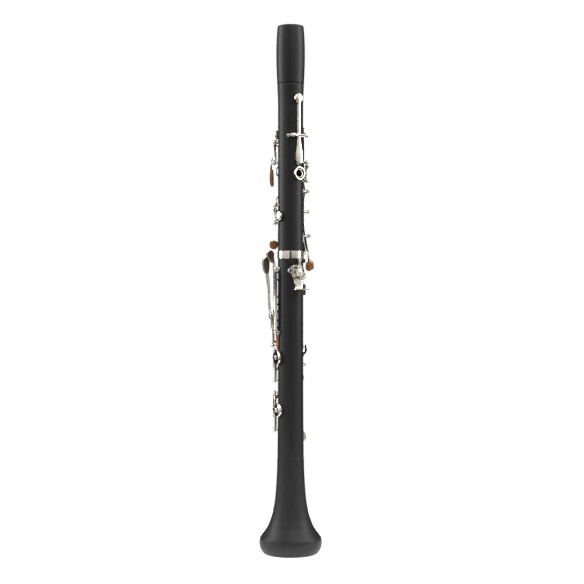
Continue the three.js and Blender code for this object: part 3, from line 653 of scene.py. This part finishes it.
# Arms and touches: rows of bearing, radius, height, half width and half thickness.
ARMS = {
    "register": [
        [(85, 17.7, 514, 2.2, 0.5), (85, 17.8, 508, 2.0, 0.8), (85, 17.7, 503, 1.75, 0.9),
         (85, 17.5, 474, 1.75, 0.9), (85, 17.6, 465, 1.9, 1.0)],
    ],
    "thumb_ring": [
        [(128, 18.8, 427.7, 2.4, 0.9), (119, 18.3, 427.7, 1.7, 0.6), (108, 17.5, 427.7, 2.4, 0.5)],
    ],
    "throat_a": [
        [(270, 17.7, 484, 1.7), (270, 18.1, 475, 1.4), (270, HINGE_R, 462, 1.7, 0.9),
         (270, 18.3, 456, 1.8)],
    ],
    "throat_g_sharp": [
        [(322, HINGE_R, 455, 1.5), (309, 18.1, 460, 1.4), (300, 17.9, 469, 1.4), (296, 17.8, 475, 1.5)],
        [(322, 18.6, 450, 1.4), (322, 20.4, 446.5, 1.3), (322, 21.8, 442, 1.3), (322, 22.1, 436, 1.7)],
    ],
    "upper_rings": [
        *([(232, HINGE_R, z, 2.2, 0.8), (240, 18.1, z, 1.6, 0.6), (249.5, 17.5, z, 2.2, 0.5)]
          for _, z in UPPER_FINGERS[:2]),
        [(232, HINGE_R, 415, 1.4), (244, 18.2, 415, 1.3), (257, 17.8, 415, 1.5)],
        [(232, HINGE_R, 358, 1.5), (233, 22.7, 352, 1.5), (236, 23.4, 346, 1.6), (238, 23.4, 339, 1.6)],
    ],
    "e_flat_sliver": [
        [(336, HINGE_R, 380, 1.6), (346, 18.2, 380, 1.5), (358, 17.8, 380, 1.7)],
        [(336, HINGE_R, 382, 1.7), (318, 19, 384, 1.7), (304, 19, 385.3, 2.1), (290, 18.6, 385.6, 2.7),
         (272, 18, 385.5, 2.0)],
    ],
    "c_sharp_g_sharp": [
        [(279, 17.3, 357, 1.4), (270, 18.1, 357, 1.4), (258, 17.8, 357, 1.5)],
        [(279, 17.3, 350, 1.6), (285, 18.8, 350, 1.6), (293, 19.6, 349, 1.8), (299, 20.3, 348, 1.8)],
    ],
    "side_1": [
        [(178, 17.8, 480, 1.3), (173, 17.4, 474.5, 1.3), (167, 16.8, 470.5, 1.3), (164.2, 16.3, 467, 1.3),
         (164.2, 16.3, 420, 1.3), (164.2, 18, 408.5, 1.3, 0.9), (164.2, 16.2, 398, 1.3),
         (164.2, 16.1, 376, 1.3), (160, 17, 362, 1.3), (156, 18, 355, 1.3)],
        [(157, 17.8, 357, 1.2, 0.8), (153, 18.8, 349, 1.5, 1), (147, 20.6, 336, 1.6, 1),
         (145, 21.2, 328, 1.7, 0.8)],
    ],
    "side_2": [
        [(187.5, 17.8, 462, 1.3), (183.5, 17.4, 455, 1.3), (177.5, 16.8, 449, 1.3),
         (175.8, 16.3, 443, 1.3), (175.8, 16.3, 420, 1.3), (175.8, 18, 408.5, 1.3, 0.9),
         (175.8, 16.2, 398, 1.3), (175.8, 16.1, 376, 1.3), (172, 17.2, 362, 1.3),
         (169.4, 18.2, 355, 1.3)],
        [(170, 18, 357, 1.2, 0.8), (166.4, 19.6, 348, 1.5, 1), (161, 22.4, 336, 1.6, 1),
         (159.4, 23.4, 329, 1.7, 0.8)],
    ],
    "side_3": [
        [(197, 17.8, 438, 1.3), (193, 17.3, 430, 1.3), (189.2, 16.4, 423, 1.3), (189.2, 16.2, 400, 1.3),
         (189.2, 17.4, 385.7, 1.3, 0.9), (191, 17.2, 370, 1.3), (192, 18, 358, 1.4)],
    ],
    "side_4": [
        [(210, 17.8, 402, 1.3), (204, 17.3, 394, 1.3), (200.5, 17.4, 385.7, 1.3, 0.9),
         (201, 17.4, 370, 1.3), (204, 18, 360, 1.5)],
    ],
    "lower_rings": [
        *([(228, HINGE_R, z, 2.2, 0.8), (238, 18.2, z, 1.6, 0.6), (249.5, 17.5, z, 2.2, 0.5)]
          for _, z in LOWER_FINGERS),
        [(228, HINGE_R, 299, 1.4), (242, 18.2, 299, 1.3), (257, 17.8, 299, 1.5)],
        [(228, HINGE_R, 321, 1.5), (230, 21.7, 326, 1.5), (234, 21.4, 334, 1.6), (238, 21.1, 343.5, 1.6)],
    ],
    "b_f_sharp_sliver": [
        [(213, HINGE_R, 272, 1.5), (205, 18.2, 272, 1.5), (195, 17.8, 272, 1.6)],
        [(213, HINGE_R, 272, 1.6), (218, 22, 272, 1.7), (229, 22.8, 271.8, 2.1), (240, 20.6, 271.5, 2.6),
         (250, 18.6, 271.5, 2.0)],
    ],
    "lh_f_sharp_lever": [
        [(345, HINGE_R, 264, 1.6), (343, 21.8, 269, 1.5), (339, 21.8, 274, 1.5), (333, 19.6, 281, 1.6)],
        [(334, 19.8, 279.5, 1.4, 0.9), (331.5, 18.8, 290, 1.7, 0.9), (330, 18.8, 318, 1.8, 0.9),
         (328, 19.5, 329, 2, 0.9)],
        [(345, HINGE_R, 255, 1.4), (333, 16.9, 255, 1.4), (320, 16.5, 254, 1.4), (306, 16.5, 246, 1.5),
         (294, 17, 230, 1.9)],
    ],
    "lh_e_lever": [
        [(322, 20.5, 262, 1.6), (322, 24, 267, 1.5), (322, 24.2, 276, 1.5)],
        [(322, 24, 274, 1.5, 0.9), (321, 25, 300, 1.7, 0.9), (320, 27, 317, 2.1, 0.9)],
        [(322, 20.5, 240, 1.4), (305, 20.8, 239, 1.4), (280, 20.6, 237, 1.6), (260, 20.2, 235, 2)],
    ],
    "f_sharp_key": [
        [(312, HINGE_R, 221, 1.6), (319, 19.6, 221, 1.7), (330, 19.3, 221, 1.8), (347, 18.1, 221, 2.2)],
        [(312, HINGE_R, 206, 1.6), (290, 18.7, 207, 1.6), (272, 19, 210, 1.7), (260, 20.2, 216, 2)],
    ],
    "f_key": [
        [(312, HINGE_R, 163, 1.6), (327, 19.6, 163, 1.7), (340, 19.1, 162, 1.8), (354, 18.1, 162, 2.2)],
        [(312, HINGE_R, 172, 1.6), (285, 18.6, 176, 1.6), (260, 18.8, 183, 1.6), (242, 19, 193, 1.6),
         (238, 19.6, 206, 1.6), (238, 20.8, 222, 1.8), (240, 21.6, 232, 2.4)],
    ],
    "e_key": [
        [(222, HINGE_R, 144, 1.6), (212, 18.6, 143.2, 1.6), (203, 18.1, 137, 1.8), (195, 17.9, 129, 2.0)],
        [(222, HINGE_R, 194, 1.6), (221, 22, 199, 1.5), (219, 22.6, 207, 1.6), (214, 22.6, 215, 2)],
    ],
    "a_flat_key": [
        [(194, 17.8, 195, 1.8), (194, 17.9, 201, 1.5), (194, HINGE_R, 212, 1.8), (192, 18.8, 218, 1.8),
         (186, 20.2, 225, 2)],
    ],
}
# A touch adds the bearing that it faces, if that is not its own.
TOUCHES = {
    "register": ([(85, 17.6, 466, 1.8, 0.9), (85, 17.8, 458, 3.2, 0.95), (85, 18.1, 448, 4.9, 0.95),
                  (85, 18.0, 442, 4.6, 0.9), (85, 17.7, 437, 2.6, 0.8)], None),
    "throat_a": ([(270, 18.3, 457, 1.8), (270, 18.3, 452, 3), (270, 18, 446, 3.6),
                  (270, 17.8, 441.6, 2.8)], None),
    "throat_g_sharp": ([(322, 22, 440, 1.5), (322, 22.1, 433, 2.6), (322, 22.1, 424, 3.8),
                        (322, 21.8, 417, 3.4), (322, 21.5, 413.6, 2.4)], 300),
    "c_sharp_g_sharp": ([(303, 21.2, 353, 3), (302, 21, 350.6, 4.6), (300, 20.6, 347, 4.8),
                         (297.5, 20, 343.2, 3.3)], 250),
    "side_1": ([(145, 21.2, 329.5, 2.6), (144.3, 21.4, 326.5, 4), (144, 21.4, 322, 4.3),
                (144, 21.2, 318.2, 3.3)], 205),
    "side_2": ([(159.4, 23.4, 330.5, 2.6), (158.6, 23.8, 327, 3.6), (158.6, 24, 323, 3.8),
                (158.6, 23.7, 319.4, 3)], 208),
    "side_3": ([(192, 18, 359, 1.4), (188, 19.2, 350, 2.6), (185, 19.8, 342, 3),
                (184, 19.6, 336.5, 2.4)], 202),
    "side_4": ([(204, 18, 361, 1.5), (208, 18.7, 353, 2.6), (209, 19, 346, 3),
                (209, 18.7, 340, 2.4)], 214),
    "lh_f_sharp_lever": ([(328, 19.5, 327.5, 2, 0.9), (325, 22.4, 333.5, 4.4, 0.9),
                          (325, 23, 337.5, 5.2, 0.9), (325, 22.8, 341.8, 3.6, 0.9)], 262),
    "lh_e_lever": ([(320, 26.8, 315, 2.2, 0.9), (320, 27.6, 321, 4.2, 0.9), (320, 28, 328, 4.8, 0.9),
                    (320, 27.8, 334, 3.4, 0.9)], 262),
    "f_sharp_key": ([(260, 20.2, 215, 2), (258, 21.2, 220, 4), (258, 21.4, 226, 4.2),
                     (258, 21.2, 230, 3.4)], None),
    "f_key": ([(240, 21.6, 231, 2.4), (241, 22, 235, 3.8), (241, 22, 239, 3.8),
               (241, 21.6, 242.6, 3.2)], None),
    "e_key": ([(214, 22.6, 214, 2), (212, 22.8, 218, 3.8), (212, 22.8, 225, 4),
               (212, 22.6, 228.4, 3.4)], None),
    "a_flat_key": ([(187, 20, 224, 2), (183, 21, 227, 3.4), (182, 21.2, 231, 3.8),
                    (182, 21, 235, 3.2)], None),
}
# Keys with a facing glued under the touch, and the row of the touch that it starts at.
FACED = {"throat_g_sharp": 1, "c_sharp_g_sharp": 0, "side_1": 0, "side_2": 0, "lh_f_sharp_lever": 0,
         "lh_e_lever": 0}
# It is cork, but worn leather on the left-hand levers.
LEATHERED = ("lh_f_sharp_lever", "lh_e_lever")


def facing(name):
    """The cork or leather glued under a touch, a little smaller than it."""
    rows, side = TOUCHES[name]
    inset = 1.2 if name in LEATHERED else 0.15
    rows = rows[FACED[name]:]
    shape = strip([(*r[:3], r[3] - inset, HALF_THICK) for r in rows], side, (1.4, 2.2), 2.2, 20)
    shift = outward(side) * -(2 * HALF_THICK + 0.02)
    return [p + shift for p in shape[0]], shape[1]


def key(name):
    """A key in one piece, tube, arms, touch, rings and cup, with its pad and its facing."""
    hinge, opened, body = HINGES[name], OPEN.get(name, 0), "key_" + name
    shapes = [strip(rows, ARM_FACING.get((name, i))) for i, rows in enumerate(ARMS[name])]
    if name in TOUCHES:
        rows, side = TOUCHES[name]
        shapes.append(strip(rows, side, (0.5, 3.0), 2.2, 20))
    shapes += [ring(*place) for place in RINGS.get(name, [])]
    nodes = ("key_" + name, "facing_" + name, "pad_" + name)
    stands_for = [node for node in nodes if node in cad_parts]
    if name in PADS:
        bearing, z, _, radius = PADS[name]
        shapes.append(cup(bearing, z, radius))
        piece("pad_in_" + name, hinge.turned(pad(bearing, z, radius), opened), SKIN, body)
    if name in FACED:
        piece("cork_under_" + name, facing(name), LEATHER if name in LEATHERED else FACE, body)
    whole = merged(tube(hinge), hinge.turned(merged(*shapes), opened))
    piece("lever_" + name, whole, SILVER, body, stands_for)


def keywork():
    for name in HINGES:
        key(name)
    paired = {n for held, _, _ in SHARED_RODS.values() for n in held}
    for name, hinge in HINGES.items():
        if name not in paired:
            mount_hinges(name, [hinge])
    mount_hinges("side_guide", [Hinge(164.5, 358, half=2.4, radius=20)])
    for name, (held, before, after) in SHARED_RODS.items():
        mount_hinges(name, [HINGES[n] for n in held], before, after)


# ---------------------------------------------------------------- thumb rest
REST = 86.5
PLATE_R, PLATE_HALF, PLATE_CORNER = 15.3, 0.48, 0.3
EYE_R, EYE_Z = 17.6, 331.2
CLAMP_R, CLAMP_Z, CLAMP_HEAD = 18.9, 312.6, 5.45
# Half the plate's outline: how far along, and the heights of its lower and upper edge.
SHIELD = [(0, 299.5, 324.8), (1.8, 299.5, 324.8), (3.5, 300.2, 324.75), (5.2, 305.3, 324.7),
          (6.8, 310.9, 324.1), (9, 314.6, 322), (10.9, 317.7, 319.7)]
# The plate's small screws: the bearing from its middle, on both sides, and the height.
SMALL_SCREWS = [(31.5, 320.4), (31.5, 316.0), (15.3, 322.4), (15.3, 317.2), (15.3, 310.2)]
# The hook: distance from the axis, height, half width, and how far its outer face has turned up.
HOOK = [(16.8, 318.2, 4.5, 0), (16.8, 314, 4.6, 0), (16.8, 309, 4.7, 0), (16.8, 304, 4.75, 0),
        (16.8, 301, 4.9, 0), (17.0, 299.8, 5.3, 0.2), (17.5, 298.8, 6.6, 0.45), (18.2, 298.1, 8.0, 0.75),
        (19.4, 297.7, 8.7, 1), (21, 297.7, 8.8, 1), (24, 297.7, 8.4, 1), (27, 297.7, 7.2, 1),
        (28.8, 297.7, 5.9, 1), (29.6, 297.7, 4.8, 1), (29.8, 297.7, 4.2, 1)]


def shield():
    """A plate bent round the joint, with its edges rounded."""
    rows = [(-x, low, high) for x, low, high in SHIELD[:0:-1]] + SHIELD
    x = [r[0] for r in rows]
    low, high = slopes(x, [r[1] for r in rows]), slopes(x, [r[2] for r in rows])
    points, faces, count, sides = [], [], 0, 28
    for i in range(len(rows) - 1):
        width = x[i + 1] - x[i]
        steps = max(2, round(width / 0.45))
        for k in range(steps + (i == len(rows) - 2)):
            s = k / steps
            bottom, top = (between(s, width, rows[i][j], rows[i + 1][j], t[i], t[i + 1])
                           for j, t in ((1, low), (2, high)))
            across = x[i] + width * s
            for n in range(sides):
                a = 2 * math.pi * (n + 0.5) / sides
                r = PLATE_R + PLATE_HALF * squared(math.sin(a), PLATE_CORNER)
                z = (bottom + top) / 2 + (top - bottom) / 2 * squared(math.cos(a), PLATE_CORNER)
                out = math.sqrt(r * r - across * across)
                points.append(outward(REST) * out + sideways(REST) * across + UP * z)
            count += 1
    for i in range(count - 1):
        for n in range(sides):
            m = (n + 1) % sides
            faces.append((i * sides + n, (i + 1) * sides + n, (i + 1) * sides + m, i * sides + m))
    faces += [tuple(range(sides)), tuple(reversed(range((count - 1) * sides, count * sides)))]
    return points, faces


def rest_plate():
    """The plate with its block and strap eye, the eye's pin, and the small screws, each ringed by a black
    disc that is painted shade in its countersink.
    """
    out, side, eye_place = outward(REST), sideways(REST), at(REST, EYE_R, EYE_Z)
    block = box(at(REST, 17.2, 321.8), out, side, UP, 1.7, 3.2, 2.2, 0.35)
    leaf = [box(at(REST, EYE_R, 327.4) + side * s, out, side, UP, 1.0, 0.55, 4.3, 0.25) for s in (-1, 1)]
    eye_section = [(0.9, -1.5), (2.0, -1.5), (2.2, -1.3), (2.2, 1.3), (2.0, 1.5), (0.9, 1.5), (0.9, -1.5)]
    eye = placed(revolved(eye_section, 28), eye_place, out)
    head = [(0, 0.2), (0.8, 0.2), (0.8, 0.5), (0.6, 0.66), (0, 0.72)]
    # Each countersink is a black ring round its screw's head, standing thin above the plate: painted shade,
    # not the plate's own colour.
    sink_shade = [(0.7, 0.25), (1.85, 0.25), (1.85, 0.53), (1.7, 0.58), (0.7, 0.5), (0.7, 0.25)]
    screws, sink_shades = [], []
    for aside, z in SMALL_SCREWS:
        for bearing in (REST - aside, REST + aside):
            place = at(bearing, 15.35, z)
            screws.append(placed(revolved(head, 20), place, outward(bearing)))
            sink_shades.append(placed(revolved(sink_shade, 24), place, outward(bearing)))
    piece("thumb_rest_base", merged(shield(), block, *leaf, eye), SILVER, stands_for=["thumb_rest_plate"])
    piece("thumb_rest_small_screws", merged(*screws), STEEL)
    piece("thumb_rest_countersink_shades", merged(*sink_shades), BLACK)
    piece("strap_eye_pin", rod(eye_place - out * 1.9, eye_place + out * 1.9, 0.85, 16), STEEL)


def rest_hook():
    """The hook that slides in the plate's block, with the dark pin through its ledge."""
    path = [at(REST, r, z) for r, z, _, _ in HOOK]
    ups = [outward(REST) * (1 - turned) + UP * turned for *_, turned in HOOK]
    bar = sweep(path, ups, [(width, 0.62) for _, _, width, _ in HOOK], 20, 5.0)
    piece("thumb_hook", bar, SILVER, "thumb_hook", ["thumb_rest_hook"])
    pin = [(0, -5.9), (1.6, -5.9), (1.9, -5.6), (1.9, -1.0), (1.6, -0.8), (1.6, 1.6), (1.9, 1.8),
           (1.9, 5.4), (1.7, 5.8), (1.1, 6.1), (0, 6.2)]
    pin = placed(revolved(pin, 28), at(REST, 26.4, 297.2), UP)
    piece("stop_pin", pin, BLACK, "thumb_hook", ["thumb_rest_pin"])


def clamp_screw():
    """A thumb screw whose coin slot is shown by a black plate across its head, painted shadow in place of a
    cut slot.
    """
    out = outward(REST)
    slant = (UP + sideways(REST)).normalized()
    rim = [(0, 0), (1.9, 0), (1.9, 0.8), (4.1, 1), (4.4, 1.3), (4.4, 5.1), (4.15, 5.4), (0, CLAMP_HEAD)]
    head = placed(revolved(rim, 56), at(REST, CLAMP_R, CLAMP_Z), out)
    shank = rod(at(REST, 16.1, CLAMP_Z), at(REST, CLAMP_R + 0.05, CLAMP_Z), 1.5, 20)
    piece("clamp_screw_head", merged(head, shank), SILVER, "clamp_screw", ["thumb_rest_screw"])
    middle = at(REST, CLAMP_R + CLAMP_HEAD - 0.15, CLAMP_Z)
    # A thin black plate set in the head's face: painted shadow standing in for the shade inside the coin
    # slot, which is not cut.
    slot_shadow = box(middle, out, slant, out.cross(slant), 0.2, 4.1, 0.55, 0.02)
    piece("clamp_screw_slot_shadow", slot_shadow, BLACK, "clamp_screw")


def block_on_wood(name, place, half_sizes, look, node):
    """A block on the wood at a bearing, distance and height, facing out."""
    out, side = outward(place[0]), sideways(place[0])
    piece(name, box(at(*place), out, side, UP, *half_sizes, 0.3), look, stands_for=[node])


def guide_and_bumper():
    block_on_wood("guide", (121, 15.9, 329.9), (1.3, 2.2, 2.3), BLACK, "guide_block")
    block_on_wood("cork_bumper", (342, 15.5, 239.25), (0.9, 1.5, 7), FACE, "lever_bumper")


# ---------------------------------------------------------------- the studio
# The distances of the camera and the lights are in metres, and the bearings of the lights and the room count
# from the camera's. MIDDLE is what the camera looks at.
CAMERA_BEARING, CAMERA_DISTANCE = 52, 1.5
MIDDLE = Vector((0, 0, 294.7)) * MM
SENSOR, LENS, SHIFT = 36, 81.8, 0.0024
FLOOR_R, FLOOR_Z = 300, -0.4
# Each light's bearing from the camera, distance, height, width, tallness and watts.
LIGHTS = {"left_box": (-97, 0.75, 0.68, 0.26, 0.9, 5.4), "right_box": (86, 0.75, 0.72, 0.26, 0.85, 5.0),
          "top_box": (20, 1.2, 1.6, 0.8, 0.8, 8)}
# How bright the room is at each bearing from the camera, with 0 straight behind it.
ROOM = [(0, 0.01), (6, 0.01), (10, 0.46), (48, 0.46), (57, 0.62), (98, 0.72), (106, 0.3), (116, 0.05),
        (135, 0.02), (180, 0.03), (225, 0.02), (244, 0.03), (250, 0.2), (255, 0.85), (270, 0.85),
        (280, 0.62), (304, 0.58), (350, 0.54), (354, 0.01)]


def surroundings():
    """A white backdrop, and for light and reflections a room of pale and dark panels, paler overhead.

    Its brightness is 1 at eye level and goes up and down by 2.4 times the upward part of the direction,
    between 0.25 and 1.7.
    """
    world = bpy.data.worlds.new("studio")
    world.use_nodes = True
    bpy.context.scene.world = world
    nodes, link = world.node_tree.nodes, world.node_tree.links.new

    def maths(operation, a, b):
        node = nodes.new("ShaderNodeMath")
        node.operation = operation
        for socket, value in zip(node.inputs, (a, b)):
            if isinstance(value, (int, float)):
                socket.default_value = value
            else:
                link(value, socket)
        return node.outputs["Value"]

    way, parts = nodes.new("ShaderNodeTexCoord"), nodes.new("ShaderNodeSeparateXYZ")
    link(way.outputs["Generated"], parts.inputs["Vector"])
    turns = maths("DIVIDE", maths("ARCTAN2", parts.outputs["Y"], parts.outputs["X"]), 2 * math.pi)
    turns = maths("FRACT", maths("ADD", turns, 1.5 - CAMERA_BEARING / 360), 0)
    ramp = nodes.new("ShaderNodeValToRGB")
    link(turns, ramp.inputs["Fac"])
    stops = sorted(((angle / 360 + 0.5) % 1, level) for angle, level in ROOM)
    stops = [(0.0, stops[0][1])] + stops
    marks = ramp.color_ramp.elements
    for k, (spot, level) in enumerate(stops):
        mark = marks[k] if k < 2 else marks.new(spot)
        mark.position, mark.color = spot, (level, level, level * 0.98, 1)
    height = maths("ADD", maths("MULTIPLY", parts.outputs["Z"], 2.4), 1.0)
    height = maths("MAXIMUM", maths("MINIMUM", height, 1.7), 0.25)
    seen, soft = nodes["Background"], nodes.new("ShaderNodeBackground")
    seen.inputs["Color"].default_value, seen.inputs["Strength"].default_value = (1, 1, 1, 1), 1.0
    link(ramp.outputs["Color"], soft.inputs["Color"])
    link(height, soft.inputs["Strength"])
    rays, mix = nodes.new("ShaderNodeLightPath"), nodes.new("ShaderNodeMixShader")
    link(rays.outputs["Is Camera Ray"], mix.inputs["Fac"])
    link(soft.outputs["Background"], mix.inputs[1])
    link(seen.outputs["Background"], mix.inputs[2])
    link(mix.outputs["Shader"], nodes["World Output"].inputs["Surface"])


def aim(obj, target):
    obj.rotation_euler = (target - obj.location).to_track_quat("-Z", "Y").to_euler()


def light(name, bearing, distance, height, width, tall, power):
    data = bpy.data.lights.new(name, "AREA")
    data.shape, data.size, data.size_y, data.energy = "RECTANGLE", width, tall, power
    lamp = linked(name, data)
    lamp.location = outward(CAMERA_BEARING + bearing) * distance + UP * height
    aim(lamp, UP * min(height, 0.5))


def camera():
    data = bpy.data.cameras.new("camera")
    data.sensor_width, data.lens, data.shift_x, data.clip_end = SENSOR, LENS, SHIFT, 50
    cam = linked("camera", data)
    cam.location = MIDDLE + outward(CAMERA_BEARING) * CAMERA_DISTANCE
    aim(cam, MIDDLE)
    bpy.context.scene.camera = cam


def floor():
    pale = bpy.data.materials.new("pale_floor")
    pale.use_nodes = True
    shader = pale.node_tree.nodes["Principled BSDF"]
    shader.inputs["Base Color"].default_value = (0.9, 0.9, 0.9, 1)
    shader.inputs["Roughness"].default_value = 0.9
    shader.inputs["Specular IOR Level"].default_value = 0.0
    shader.inputs["Emission Color"].default_value = (1, 1, 1, 1)
    shader.inputs["Emission Strength"].default_value = 0.9
    disc = solid("floor", revolved([(0, FLOOR_Z), (FLOOR_R / 2, FLOOR_Z), (FLOOR_R, FLOOR_Z)], 96))
    disc.data.materials.append(pale)


def studio():
    camera()
    floor()
    surroundings()
    for name, sizes in LIGHTS.items():
        light(name, *sizes)
    bpy.context.scene.view_settings.view_transform = "Standard"


studio()
barrel_section()
upper_section()
lower_section()
bell_section()
tone_hole_rims()
rings_and_corks()
keywork()
rest_plate()
rest_hook()
clamp_screw()
guide_and_bumper()
